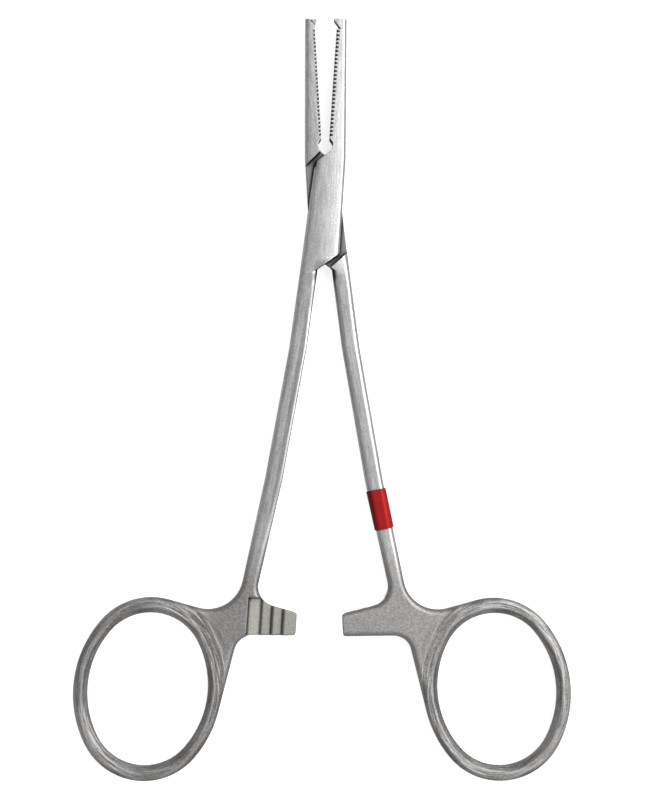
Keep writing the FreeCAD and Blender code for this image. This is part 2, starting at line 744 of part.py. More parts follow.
# The band is a thin wrap round the male shank: the stretch of shank that it
# covers, grown by the wrap's thickness, trimmed square and hollowed.
trim = doc.addObject("Part::Box", "band_trim")
trim.setExpression("Length", of_sheet("2 * band_x"))
trim.setExpression("Width", of_sheet("band_long"))
trim.setExpression("Height", of_sheet("box_thick + 2 * past_edge"))
lean_out = "( band_turn + half_opening )"
trim_middle_x = "band_x * cos ( half_opening ) + band_y * sin ( half_opening )"
trim_middle_y = "band_x * sin ( half_opening ) - band_y * cos ( half_opening )"
trim_x = trim_middle_x + " - band_x * cos" + lean_out + " + band_long / 2 * sin" + lean_out
trim_y = trim_middle_y + " - band_x * sin" + lean_out + " - band_long / 2 * cos" + lean_out
trim.setExpression("Placement.Base.x", of_sheet(trim_x))
trim.setExpression("Placement.Base.y", of_sheet(trim_y))
trim.setExpression("Placement.Base.z", of_sheet("0 - past_edge"))
trim.setExpression("Placement.Rotation.Angle", of_sheet(lean_out))

covered = doc.addObject("Part::Common", "band_covered_shank")
covered.Base = half["male_half"]
covered.Tool = trim
doc.recompute()
grown = doc.addObject("Part::Offset", "band_grown")
grown.Source = covered
grown.setExpression("Value", of_sheet("band_wrap"))
grown.Mode = "Skin"
grown.Join = "Arc"
doc.recompute()
sleeve = doc.addObject("Part::Common", "band_sleeve")
sleeve.Base = grown
sleeve.Tool = trim
band = doc.addObject("Part::Cut", "marking_band")
band.Base = sleeve
band.Tool = half["male_half"]
doc.recompute()

# Nothing is written unless every object of the document has been made.
for item in doc.Objects:
    if "Invalid" in item.State or "Error" in item.State:
        raise RuntimeError(item.Name + " is not up to date")
os.makedirs("parts", exist_ok=True)
for item in (half["box_half"], half["male_half"], pivot, band):
    shape = item.Shape
    if shape.isNull() or not shape.isValid() or len(shape.Solids) != 1:
        raise RuntimeError(item.Label + " is not one sound solid")
    shape.exportStep("parts/" + item.Label + ".step")
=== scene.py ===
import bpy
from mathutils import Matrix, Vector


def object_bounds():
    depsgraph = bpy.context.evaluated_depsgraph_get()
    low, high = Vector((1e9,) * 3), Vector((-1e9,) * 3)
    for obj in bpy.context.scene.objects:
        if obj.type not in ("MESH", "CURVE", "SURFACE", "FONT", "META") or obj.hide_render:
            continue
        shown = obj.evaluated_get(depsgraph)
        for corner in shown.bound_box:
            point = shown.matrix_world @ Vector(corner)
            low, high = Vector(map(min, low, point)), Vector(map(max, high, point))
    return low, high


bl_info = {
    "name": "Hemostat finish",
    "version": (1, 0, 0),
    "blender": (4, 5, 0),
    "location": "3D View > Sidebar > Hemostat",
    "description": "Gives the forceps, their pin and the tape their finish, and lays out the stage",
    "category": "Object",
}

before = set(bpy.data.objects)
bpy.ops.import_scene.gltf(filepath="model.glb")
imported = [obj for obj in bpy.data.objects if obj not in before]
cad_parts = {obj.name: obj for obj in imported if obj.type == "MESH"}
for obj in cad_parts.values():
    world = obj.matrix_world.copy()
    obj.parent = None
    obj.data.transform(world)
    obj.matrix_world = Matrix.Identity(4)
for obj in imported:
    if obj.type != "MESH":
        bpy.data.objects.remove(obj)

import math

import bpy
from mathutils import Vector

CAD_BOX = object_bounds()
MM = 0.001

# Which half a material is for. The lengths below are those of the box half,
# whose ring is on the left, and the male half is its mirror image.
BOX_SIDE = 1
MALE_SIDE = -1

# Each half was turned from shut by this angle about the pivot, which stands
# on the origin.
HALF_OPENING = math.radians(3.5)

# From here on lengths are in millimetres from the pivot, with the jaws shut.

# Centre line of a shank, by its two ends, half the shank's width, and half the
# width of the flat between its rounded edges.
SHANK_HIGH = (-1.98, -10.0)
SHANK_LOW = (-7.47, -57.5)
SHANK_HALF_WIDE = 1.4
SHANK_HALF_FLAT = 0.75

# Middle of a finger ring, and half the width and length of the line half way
# between hole and rim.
RING_MIDDLE = (-23.5, -79.7)
RING_HALF = (10.8, 13.6)

# Half the width of box and closed jaws, and the height of the plane half way
# through the thickness.
BOX_HALF_WIDE = 2.8
MIDDLE_PLANE = 1.8

# Spans over which one finish passes into the next, along the instrument: from
# box to shank, from ground to blasted steel, onto the seat of the ratchet, and
# the start and the end of the grooved jaws.
HANDLE_ALONG = (-8.0, -12.0)
SATIN_ALONG = (-52.0, -63.0)
SEAT_ALONG = (-60.0, -62.0)
GROOVES_START = (-14.0, -12.0)
GROOVES_END = (30.1, 29.8)

# Spans either way from the pivot: the end of the neck, and the start and the
# end of a mouth of the box.
NECK_END = (11.0, 10.0)
MOUTH_START = (5.5, 6.5)
MOUTH_END = (12.5, 11.5)

# Spans in depth from the middle plane: the seat, the neck, and the crowned
# faces, which leave out the neck.
SEAT_DEPTH = (0.5, 0.4)
NECK_DEPTH = (0.8, 0.7)
CROWNED_DEPTH = (0.65, 0.85)

# Spans across: the seat, and the round spot on the pin without broken edges.
SEAT_ACROSS = (-8.6, -8.3)
PIN_SPOT = (1.3, 1.5)

# Inner faces end this far off the middle, in the box and in the tapered jaws,
# over this span, and the limit changes at the root of the jaws.
INSIDE_BOX = 2.1
INSIDE_JAW = 0.9
INSIDE_FADE = (0.3, 0.0)
JAW_ROOT = (10.0, 11.0)

# How level a face is, from 0 on an upright wall to 1 on a flat, where each
# kind of face starts and is complete.
WALL_LEVEL = (0.5, 0.2)
MOUTH_LEVEL = (0.94, 0.86)
NECK_LEVEL = (0.3, 0.5)
SEAT_FLOOR_LEVEL = (0.985, 0.998)

# The next two are for the shading alone. They are set so that the light falls
# as it does on the hand-finished instrument: how much the front falls off
# towards the outside, on the shank and on the web and ring, and how much
# flatter than a quarter circle the edges of the shank are, by the square of the
# way past the flat.
OUTWARD_FALL = {BOX_SIDE: (0.065, 0.005), MALE_SIDE: (-0.012, 0.05)}
EDGE_FLATTENED = {BOX_SIDE: 0.34, MALE_SIDE: 0.0}

# Depth of scratches, dimples and ridges. The ridges are drawn deeper than real
# ones, or they would not show.
SCRATCH_DEEP = 0.004
GRAIN_DEEP = 0.016
RIDGE_DEEP = 0.25
TAPE_GRAIN_DEEP = 0.01

# Patterns: part of the noise that is used, and the levels it is spread over.
STREAKS = (0.3, 0.7, 0.76, 1.1)
GROUND_MOTTLE = (0.35, 0.65, 0.87, 1.08)
SEAT_MOTTLE = (0.35, 0.65, 0.86, 1.08)
TAPE_MOTTLE = (0.3, 0.7, 0.75, 1.05)
SPECKS = (0.36, 0.64)
RIDGES = (0.35, 0.65)

# Tone of the blasted steel, from its low spots to its high ones: the shares of
# specks, clouds and ridges in it, and what is taken off their sum.
SPECK_SHARE = 0.5
CLOUD_SHARE = 0.4
RIDGE_SHARE = 0.8
TONE_DROP = 0.3

# Ridges round the ring: how much the noise changes from one side of the ring
# to the other, and where they end on the web, if 1 is the line half way
# between hole and rim.
RIDGE_TURN = 2.0
RIDGE_END = (1.12, 1.3)

# How far scratches and dimples move the roughness up and down.
GROUND_ROUGH_SPREAD = 0.16
SATIN_ROUGH_SPREAD = 0.14

# Painted shade in corners, gaps and mouths, laid into the steel's colour: part
# of the open sky that counts, and the levels it is spread over.
CORNER_SHADE = (0.3, 0.85, 0.3, 1.0)
GAP_SHADE = (0.55, 0.95, 0.04, 1.0)
MOUTH_SHADE = (0.45, 0.9, 0.55, 1.0)

# Tape: where its face passes into its edges, which are painted darker as
# shade, and how far the painted highlight line lies left of the middle and how
# wide it is to each side.
TAPE_FLAT = (1.65, 1.05)
TAPE_LINE = 0.35

# Light tent by the direction that it is seen in: span of that direction's
# part along one axis, and the levels it is spread over.
TENT_RIGHT = (-0.21, 0.34)
TENT_FAR_RIGHT = (0.4, 0.75, 1.0, 0.45)
TENT_JAWS_END = (-0.22, 0.25, 0.30, 1.25)
TENT_UP = (-0.2, 0.65, 0.3, 1.0)
TENT_LOW = (0.0, 0.5, 0.3, 1.0)
TENT_ALL_ROUND = 0.6
TENT_SOFT_BOX = 1.5

# Paper: half its size in metres, how far it lies under the object, its level
# as the camera sees it and as the steel does, and its glow in the picture.
PAPER_HALF = 1.5
PAPER_DROP = 0.02
PAPER_SEEN = 0.8
PAPER_MIRRORED = 0.6
PAPER_GLOW = 0.75

# Longer side of the camera's sensor.
SENSOR = 36.0


def linear(hex_text):
    """sRGB hex colour as linear RGB."""
    parts = [int(hex_text[i : i + 2], 16) / 255 for i in (1, 3, 5)]
    return tuple(c / 12.92 if c <= 0.04045 else ((c + 0.055) / 1.055) ** 2.4 for c in parts)


def colour(name, text, value):
    """Colour property given in sRGB hex."""
    return bpy.props.FloatVectorProperty(
        name=name, description=text, subtype="COLOR", size=3, min=0, max=1, default=linear(value)
    )


def length(name, text, value):
    """Length property in millimetres, kept in metres."""
    return bpy.props.FloatProperty(
        name=name, description=text, default=value * MM, min=0, unit="LENGTH", precision=5
    )


def share(name, text, value):
    """Property from 0 to 1."""
    return bpy.props.FloatProperty(name=name, description=text, default=value, min=0, max=1)


class SteelSettings(bpy.types.PropertyGroup):
    """Finish of the stainless steel."""

    ground: colour("Ground steel", "Box, jaws and shanks, ground along their length", "#cdcdcd")
    satin: colour("Satin steel", "Webs and rings, blasted with fine beads", "#afadab")
    pit: colour("Satin steel, low spots", "Darker specks left by the blasting", "#7b7977")
    ground_rough: share("Ground roughness", "Roughness of the ground faces", 0.30)
    satin_rough: share("Satin roughness", "Roughness of the blasted faces", 0.42)
    seat_rough: share("Seat roughness", "Roughness of the seat of the ratchet", 0.60)
    # Left as milled, and painted darker for the shade of the box over it.
    milled: colour("Milled neck", "The neck in the box, left as milled", "#8c8b87")
    seat: colour("Milled ratchet seat", "The seat of the ratchet, left as milled", "#9f9e98")
    # Painted lighter, against the shade that the last tooth casts on this flat.
    lit_seat_floor: colour("Ratchet seat, floor", "The flat beside the last tooth", "#c6c5be")
    # Painted dark as shade, on the upright walls of grooves, slot and teeth.
    wall: colour("Upright walls", "Grooves and teeth, dark with oil", "#3a3936")
    # Painted dark as the shade in the mouths of the box.
    shaded_mouth_slope: colour("Slopes in the mouths", "Left as milled, at both ends of the box", "#74726c")
    # Real scratches are a quarter as wide; these are as coarse as they have to
    # be to show.
    scratch_wide: length("Scratch width", "Across the grinding scratches", 0.2)
    scratch_long: length("Scratch length", "Along the grinding scratches", 4.0)
    grain: length("Blasting grain", "One dimple of the blasting", 0.30)
    cloud: length("Clouds", "One soft cloud in the blasted steel", 7.0)
    ridge: length("Ridges round the rings", "One ridge left by shaping the ring by hand", 0.55)
    box_crown: length("Crown of box and jaws", "Middle of the closed jaws above their backs", 0.19)
    shank_crown: length("Crown of the shanks", "Middle of a shank above its edges", 0.035)
    edge_round: length("Broken edges", "Edges of the ground steel are broken by this radius", 0.16)
    ring_edge_round: length("Broken edges, rings", "The same for the blasted steel", 0.45)
    # The next three darken the colour as painted shade: near corners, in a black line in corners and
    # gaps, and on the neck below the box.
    crevice: length("Crevice reach", "Dirt and shade gather this close to a corner", 0.9)
    gap: length("Gap reach", "The black line in a corner or a gap", 0.6)
    mouth_reach: length("Shade in the mouths", "How far the box shades the neck", 1.1)


class TapeSettings(bpy.types.PropertyGroup):
    """Finish of the marking tape."""

    tape: colour("Tape", "Plastic instrument tape", "#a60b10")
    # Painted shade on the tape's edges, where it turns round the shank.
    edge: colour("Tape edge", "Where the tape is stretched round the shank", "#6a0508")
    # Painted highlight along the crown of the tape.
    line: colour("Tape on the crown", "Where the tape is stretched thin", "#cf1a1e")
    mottle: length("Mottle", "One soft spot in the red", 0.9)
    grain: length("Grain", "One dimple of the plastic", 0.3)


class StageSettings(bpy.types.PropertyGroup):
    """Floor, light and camera."""

    distance: length("Camera distance", "Lens to the middle of the thickness", 320.0)
    left: length("Camera to the left", "Lens this far left of the middle of the frame", 9.0)
    field: length("Field height", "Height of the frame on the object", 129.44)
    middle_x: length("Frame middle, across", "Where the camera looks, from the pivot", 0.06)
    middle_y: bpy.props.FloatProperty(
        name="Frame middle, along",
        description="Where the camera looks, from the pivot",
        default=-31.25 * MM,
        unit="LENGTH",
        precision=5,
    )
    roll: bpy.props.FloatProperty(
        name="Camera roll",
        description="Turn about the line of sight",
        default=math.radians(0.27),
        subtype="ANGLE",
    )


def add(tree, kind, inputs=None, **settings):
    """Adds a node, sets it up, and fills its inputs with values or with other
    nodes' outputs."""
    made = tree.nodes.new(kind)
    for key, value in settings.items():
        setattr(made, key, value)
    for socket, value in (inputs or {}).items():
        if isinstance(value, bpy.types.NodeSocket):
            tree.links.new(value, made.inputs[socket])
        else:
            made.inputs[socket].default_value = value
    return made


def maths(tree, operation, *values):
    """Output of one Math node."""
    return add(tree, "ShaderNodeMath", dict(enumerate(values)), operation=operation).outputs[0]


def fresh_material(name):
    """Empty node material, its tree and its output node."""
    material = bpy.data.materials.new(name)
    material.use_nodes = True
    tree = material.node_tree
    tree.nodes.clear()
    return material, tree, add(tree, "ShaderNodeOutputMaterial")


def rgba(values):
    """Colour with a full alpha."""
    return tuple(values) + (1.0,)


def product(tree, first, *others):
    """Output of several values multiplied."""
    for other in others:
        first = maths(tree, "MULTIPLY", first, other)
    return first


def ramp(tree, value, low, high, start=0.0, end=1.0):
    """Output that goes from start to end while the value goes from low to high."""
    inputs = {"Value": value, "From Min": low, "From Max": high, "To Min": start, "To Max": end}
    return add(tree, "ShaderNodeMapRange", inputs, interpolation_type="SMOOTHSTEP").outputs[0]


def fade(tree, value, span, start=0.0, end=1.0):
    """Ramp over a span in millimetres."""
    return ramp(tree, value, span[0] * MM, span[1] * MM, start, end)


def blend(tree, factor, one, two, kind="RGBA"):
    """Output of a Mix node between two colours or two numbers."""
    first, second = (6, 7) if kind == "RGBA" else (2, 3)
    made = add(tree, "ShaderNodeMix", {0: factor, first: one, second: two}, data_type=kind)
    return made.outputs[2 if kind == "RGBA" else 0]


def noise(tree, vector, detail, roughness=0.5):
    """Noise over a vector that is already in grain sizes."""
    inputs = {"Vector": vector, "Scale": 1.0, "Detail": detail, "Roughness": roughness}
    return add(tree, "ShaderNodeTexNoise", inputs).outputs[0]


def scaled(tree, vector, level):
    """Vector or colour times a level."""
    return add(tree, "ShaderNodeVectorMath", {0: vector, "Scale": level}, operation="SCALE").outputs[0]


def how_long(tree, vector):
    """Length of a vector."""
    return add(tree, "ShaderNodeVectorMath", {0: vector}, operation="LENGTH").outputs["Value"]


def combined(tree, x, y, z=0.0):
    """Vector of three values."""
    return add(tree, "ShaderNodeCombineXYZ", {"X": x, "Y": y, "Z": z}).outputs[0]


def split(tree, vector):
    """The three parts of a vector."""
    return add(tree, "ShaderNodeSeparateXYZ", {0: vector}).outputs


def varied(tree, pattern, mean, spread):
    """Value that a noise moves up and down round its mean."""
    return maths(tree, "MULTIPLY_ADD", pattern, spread, mean - spread / 2)


def ring_ridges(tree, spot, size):
    """Noise drawn out round the finger ring: narrow from hole to rim, long
    round it."""
    out_x = maths(tree, "SUBTRACT", spot["across"], RING_MIDDLE[0] * MM)
    out_y = maths(tree, "SUBTRACT", spot["along"], RING_MIDDLE[1] * MM)
    out_x = maths(tree, "DIVIDE", out_x, RING_HALF[0] * MM)
    out_y = maths(tree, "DIVIDE", out_y, RING_HALF[1] * MM)
    from_middle = combined(tree, out_x, out_y)
    away = how_long(tree, from_middle)
    heading = add(tree, "ShaderNodeVectorMath", {0: from_middle}, operation="NORMALIZE").outputs[0]
    heading = split(tree, heading)
    drawn = combined(
        tree,
        maths(tree, "MULTIPLY", away, RING_HALF[0] * MM / size),
        maths(tree, "MULTIPLY", heading["X"], RIDGE_TURN),
        maths(tree, "MULTIPLY", heading["Y"], RIDGE_TURN),
    )
    texture = noise(tree, drawn, detail=2.0, roughness=0.6)
    # On the web they fade out into the noise's middle value.
    return blend(tree, ramp(tree, away, *RIDGE_END), texture, 0.5, "FLOAT")


def laid_out(tree, side):
    """Where a point lies with the jaws shut and the ring of its half on the
    left: its place, how far across, along and up, and how far off the middle
    line of the shank."""
    place = add(tree, "ShaderNodeTexCoord").outputs["Object"]
    turned = {"Vector": place, "Rotation": (0.0, 0.0, side * HALF_OPENING)}
    shut = split(tree, add(tree, "ShaderNodeMapping", turned, vector_type="POINT").outputs[0])
    across = maths(tree, "MULTIPLY", shut["X"], float(side))
    rise = (SHANK_HIGH[0] - SHANK_LOW[0]) / (SHANK_HIGH[1] - SHANK_LOW[1])
    middle = maths(tree, "MULTIPLY_ADD", shut["Y"], rise, (SHANK_HIGH[0] - SHANK_HIGH[1] * rise) * MM)
    return {
        "place": place,
        "across": across,
        "along": shut["Y"],
        "up": shut["Z"],
        "off_shank": maths(tree, "SUBTRACT", across, middle),
    }


def steel_zones(tree, spot):
    """Masks that are 1 where a finish lies and 0 elsewhere."""
    across, along = spot["across"], spot["along"]
    from_pivot = maths(tree, "ABSOLUTE", along)
    depth = maths(tree, "ABSOLUTE", maths(tree, "SUBTRACT", spot["up"], MIDDLE_PLANE * MM))
    normal = add(tree, "ShaderNodeNewGeometry").outputs["True Normal"]
    level = maths(tree, "ABSOLUTE", split(tree, normal)["Z"])

    # The outer sides of box and jaws are left out of the painted shade.
    limit = fade(tree, along, JAW_ROOT, INSIDE_BOX * MM, INSIDE_JAW * MM)
    past_limit = maths(tree, "SUBTRACT", maths(tree, "ABSOLUTE", across), limit)
    inside = product(tree, fade(tree, past_limit, INSIDE_FADE), fade(tree, along, GROOVES_END))
    return {
        "handle": fade(tree, along, HANDLE_ALONG),
        "satin": fade(tree, along, SATIN_ALONG),
        "crowned": fade(tree, depth, CROWNED_DEPTH),
        # The neck in the box, painted darker partly for the box's shade over it.
        "neck": product(
            tree,
            fade(tree, depth, NECK_DEPTH),
            fade(tree, from_pivot, NECK_END),
            ramp(tree, level, *NECK_LEVEL),
        ),
        # The seat of the ratchet, and the flat in it, which is painted lighter.
        "seat": product(
            tree,
            fade(tree, depth, SEAT_DEPTH),
            fade(tree, along, SEAT_ALONG),
            fade(tree, across, SEAT_ACROSS),
        ),
        "lit_seat_floor": ramp(tree, level, *SEAT_FLOOR_LEVEL),
        # The slopes in both mouths of the box, painted dark as shade.
        "mouth": product(
            tree,
            fade(tree, from_pivot, MOUTH_START),
            fade(tree, from_pivot, MOUTH_END),
            ramp(tree, level, *MOUTH_LEVEL),
            inside,
        ),
        # The walls of slot, grooves and teeth, painted dark as shade.
        "wall": product(
            tree, ramp(tree, level, *WALL_LEVEL), fade(tree, along, GROOVES_START), inside
        ),
    }


def steel_patterns(tree, look, spot, zone):
    """Noises that the finishes are drawn with. The grinding scratches follow
    the middle line of box, jaw or shank."""
    place = spot["place"]
    follow = blend(tree, zone["handle"], spot["across"], spot["off_shank"], "FLOAT")
    drawn = combined(
        tree,
        maths(tree, "DIVIDE", follow, look.scratch_wide),
        maths(tree, "DIVIDE", spot["along"], look.scratch_long),
        maths(tree, "DIVIDE", spot["up"], look.scratch_wide),
    )
    return {
        "scratches": noise(tree, drawn, detail=4.0, roughness=0.6),
        "grain": noise(tree, scaled(tree, place, 1 / look.grain), detail=3.0, roughness=0.6),
        "cloud": noise(tree, scaled(tree, place, 1 / look.cloud), detail=2.0),
        "ridges": ring_ridges(tree, spot, look.ridge),
    }


def painted_corner_shade(tree, reach, shade):
    """Level that falls in a corner or a gap of this reach; it darkens the
    steel's colour as painted shade.
    """
    sky = add(tree, "ShaderNodeAmbientOcclusion", {"Distance": reach}, samples=8).outputs["AO"]
    return ramp(tree, sky, *shade)


def steel_colour(tree, look, zone, pattern):
    """Streaks on the ground faces, specks, ridges and soft clouds on the
    blasted ones, and the milled seat. Painted light and shade on top: the neck,
    left as milled, painted darker for the shade of the box; the slopes in the
    mouths and the upright walls painted dark as shade; the flat beside the last
    tooth painted lighter against its shade; and painted shade in corners and gaps."""
    grain = pattern["grain"]
    streak = product(
        tree, ramp(tree, pattern["scratches"], *STREAKS), ramp(tree, grain, *GROUND_MOTTLE)
    )
    ground = scaled(tree, tuple(look.ground), streak)
    tone = maths(tree, "MULTIPLY_ADD", pattern["cloud"], CLOUD_SHARE, -TONE_DROP)
    tone = maths(tree, "MULTIPLY_ADD", ramp(tree, grain, *SPECKS), SPECK_SHARE, tone)
    tone = maths(tree, "MULTIPLY_ADD", ramp(tree, pattern["ridges"], *RIDGES), RIDGE_SHARE, tone)
    blasted = blend(tree, tone, rgba(look.pit), rgba(look.satin))
    # The flat beside the last tooth is painted lighter against the tooth's shade.
    seat = blend(tree, zone["lit_seat_floor"], rgba(look.seat), rgba(look.lit_seat_floor))
    seat = scaled(tree, seat, ramp(tree, grain, *SEAT_MOTTLE))

    clean = blend(tree, zone["satin"], ground, blasted)
    # The neck, left as milled, is also painted darker for the shade of the box over it.
    clean = blend(tree, zone["neck"], clean, rgba(look.milled))
    clean = blend(tree, zone["seat"], clean, seat)
    # The slopes in the mouths are painted dark as shade.
    clean = blend(tree, zone["mouth"], clean, rgba(look.shaded_mouth_slope))
    # Upright walls of grooves and teeth are painted dark as shade.
    clean = blend(tree, zone["wall"], clean, rgba(look.wall))

    # Painted shade: darkening in corners, black lines in gaps, and the box's shade on the neck.
    below_box = painted_corner_shade(tree, look.mouth_reach, MOUTH_SHADE)
    level = product(
        tree,
        painted_corner_shade(tree, look.crevice, CORNER_SHADE),
        painted_corner_shade(tree, look.gap, GAP_SHADE),
        blend(tree, zone["neck"], 1.0, below_box, "FLOAT"),
    )
    return scaled(tree, clean, level)


def steel_roughness(tree, look, zone, pattern):
    """Roughness, which scratches and dimples move up and down."""
    ground = varied(tree, pattern["scratches"], look.ground_rough, GROUND_ROUGH_SPREAD)
    blasted = varied(tree, pattern["grain"], look.satin_rough, SATIN_ROUGH_SPREAD)
    blasted = blend(tree, zone["seat"], blasted, look.seat_rough, "FLOAT")
    return blend(tree, zone["satin"], ground, blasted, "FLOAT")


def crowned(tree, off_middle, half_wide, high):
    """Height of a crown, measured down from its middle."""
    off = maths(tree, "DIVIDE", off_middle, half_wide * MM)
    return product(tree, off, off, -high)


def steel_height(tree, look, spot, zone, pattern, side):
    """Height in metres for the bump: crowns, scratches, dimples and ridges."""
    off_shank = spot["off_shank"]
    box = product(tree, crowned(tree, spot["across"], BOX_HALF_WIDE, look.box_crown), zone["crowned"])
    past_flat = maths(tree, "SUBTRACT", maths(tree, "ABSOLUTE", off_shank), SHANK_HALF_FLAT * MM)
    past_flat = maths(tree, "MAXIMUM", past_flat, 0.0)
    shank = maths(
        tree,
        "ADD",
        crowned(tree, off_shank, SHANK_HALF_WIDE, look.shank_crown),
        product(tree, past_flat, past_flat, EDGE_FLATTENED[side] / MM),
    )
    shank = product(tree, shank, maths(tree, "SUBTRACT", 1.0, zone["satin"]))
    fall = blend(tree, zone["satin"], *OUTWARD_FALL[side], "FLOAT")
    shank = maths(tree, "MULTIPLY_ADD", off_shank, fall, shank)
    crown = blend(tree, zone["handle"], box, shank, "FLOAT")

    scratches = maths(tree, "MULTIPLY", pattern["scratches"], SCRATCH_DEEP * MM)
    ridges = maths(tree, "MULTIPLY", pattern["ridges"], RIDGE_DEEP * MM)
    dimples = maths(tree, "MULTIPLY_ADD", pattern["grain"], GRAIN_DEEP * MM, ridges)
    fine = blend(tree, zone["satin"], scratches, dimples, "FLOAT")
    return maths(tree, "ADD", crown, fine)


def broken_edges(tree, look, spot, zone):
    """Normal with the edges rounded. The pin is ground flush with the box, so
    no edge is broken round it."""
    radius = blend(tree, zone["satin"], look.edge_round, look.ring_edge_round, "FLOAT")
    on_face = {0: spot["place"], 1: (1.0, 1.0, 0.0)}
    on_face = add(tree, "ShaderNodeVectorMath", on_face, operation="MULTIPLY").outputs[0]
    radius = product(tree, radius, fade(tree, how_long(tree, on_face), PIN_SPOT))
    return add(tree, "ShaderNodeBevel", {"Radius": radius}, samples=6).outputs[0]


def stainless_steel(name, side):
    """Hardened stainless steel with two finishes.

    Box, jaws and shanks are ground lengthwise, which gives the eye fine
    streaks, and a soft change of light across their crown. Webs and rings
    are blasted with glass beads, which leaves an even, slightly mottled grey.
    Edges are broken and end in a thin line of light or shade. Corners, gaps,
    upright walls, the neck and the mouths of the box are painted darker as
    shade, and the flat beside the last tooth of the ratchet is painted lighter.
    """
    look = bpy.context.scene.hemostat_steel
    material, tree, output = fresh_material(name)
    spot = laid_out(tree, side)
    zone = steel_zones(tree, spot)
    pattern = steel_patterns(tree, look, spot, zone)
    bump = {
        "Height": steel_height(tree, look, spot, zone, pattern, side),
        "Distance": 1.0,
        "Normal": broken_edges(tree, look, spot, zone),
    }
    inputs = {
        "Base Color": steel_colour(tree, look, zone, pattern),
        "Roughness": steel_roughness(tree, look, zone, pattern),
        "Normal": add(tree, "ShaderNodeBump", bump).outputs[0],
        "Metallic": 1.0,
    }
    shader = add(tree, "ShaderNodeBsdfPrincipled", inputs)
    tree.links.new(shader.outputs[0], output.inputs["Surface"])
    return material


def instrument_tape(name, side):
    """Soft PVC tape, wound on by hand: saturated red with a dull shine, painted
    darker as shade at the edges where it turns round the shank, and with a
    paler painted highlight line on the crown."""
    look = bpy.context.scene.hemostat_tape
    material, tree, output = fresh_material(name)
    spot = laid_out(tree, side)
    # Painted shade: the red darkens towards the edges, where the tape turns round the shank.
    flat = fade(tree, maths(tree, "ABSOLUTE", spot["off_shank"]), TAPE_FLAT)
    mottle = noise(tree, scaled(tree, spot["place"], 1 / look.mottle), detail=2.0)
    tone = product(tree, flat, ramp(tree, mottle, *TAPE_MOTTLE))
    base = blend(tree, tone, rgba(look.edge), rgba(look.tape))
    # Painted highlight: a paler line on the crown.
    off_line = maths(tree, "ABSOLUTE", maths(tree, "ADD", spot["off_shank"], TAPE_LINE * MM))
    base = blend(tree, fade(tree, off_line, (TAPE_LINE, 0.0)), base, rgba(look.line))
    grain = noise(tree, scaled(tree, spot["place"], 1 / look.grain), detail=2.0)
    bump = {"Height": maths(tree, "MULTIPLY", grain, TAPE_GRAIN_DEEP * MM), "Distance": 1.0}
    inputs = {
        "Base Color": base,
        "Roughness": 0.5,
        "Normal": add(tree, "ShaderNodeBump", bump).outputs[0],
        "IOR": 1.53,
        "Specular IOR Level": 0.2,
    }
    shader = add(tree, "ShaderNodeBsdfPrincipled", inputs)
    tree.links.new(shader.outputs[0], output.inputs["Surface"])
    return material


def dress(node, material):
    """Puts one material on every slot of a CAD node."""
    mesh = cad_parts[node].data
    if not mesh.materials:
        mesh.materials.append(material)
    for index in range(len(mesh.materials)):
        mesh.materials[index] = material


class HEMOSTAT_OT_box_half(bpy.types.Operator):
    """Finish the half that carries the box and the left ring"""

    bl_idname = "hemostat.box_half"
    bl_label = "Box half"

    def execute(self, context):
        dress("box_half", stainless_steel("stainless_steel_box_half", BOX_SIDE))
        return {"FINISHED"}


class HEMOSTAT_OT_male_half(bpy.types.Operator):
    """Finish the half that passes through the box"""

    bl_idname = "hemostat.male_half"
    bl_label = "Male half"

    def execute(self, context):
        dress("male_half", stainless_steel("stainless_steel_male_half", MALE_SIDE))
        return {"FINISHED"}


class HEMOSTAT_OT_pivot_pin(bpy.types.Operator):
    """Finish the pin, ground flush with the box"""

    bl_idname = "hemostat.pivot_pin"
    bl_label = "Pivot pin"

    def execute(self, context):
        dress("pivot_pin", stainless_steel("stainless_steel_pivot_pin", BOX_SIDE))
        return {"FINISHED"}


class HEMOSTAT_OT_marking_band(bpy.types.Operator):
    """Finish the tape round the right shank"""

    bl_idname = "hemostat.marking_band"
    bl_label = "Marking tape"

    def execute(self, context):
        dress("marking_band", instrument_tape("pvc_instrument_tape", MALE_SIDE))
        return {"FINISHED"}


def studio_world():
    """Light tent with a large soft box, as the steel mirrors it: bright from
    just right of the lens, less so at the far right, at the rings' end and
    near the table, and dark on the left, so that rounded edges end in a dark
    line."""
    world = bpy.data.worlds.new("soft_box_tent")
    bpy.context.scene.world = world
    world.use_nodes = True
    tree = world.node_tree
    tree.nodes.clear()
    output = add(tree, "ShaderNodeOutputWorld")
    ray = split(tree, add(tree, "ShaderNodeTexCoord").outputs["Generated"])
    soft_box_light = product(
        tree,
        ramp(tree, ray["X"], *TENT_RIGHT),
        ramp(tree, ray["X"], *TENT_FAR_RIGHT),
        ramp(tree, ray["Y"], *TENT_JAWS_END),
        ramp(tree, ray["Z"], *TENT_LOW),
        TENT_SOFT_BOX,
    )
    upward = ramp(tree, ray["Z"], *TENT_UP)
    level = maths(tree, "MULTIPLY_ADD", upward, TENT_ALL_ROUND, soft_box_light)
    camera_ray = add(tree, "ShaderNodeLightPath").outputs["Is Camera Ray"]
    strength = blend(tree, camera_ray, level, 1.0, "FLOAT")
    shade = add(tree, "ShaderNodeBackground", {"Strength": strength})
    tree.links.new(shade.outputs[0], output.inputs["Surface"])


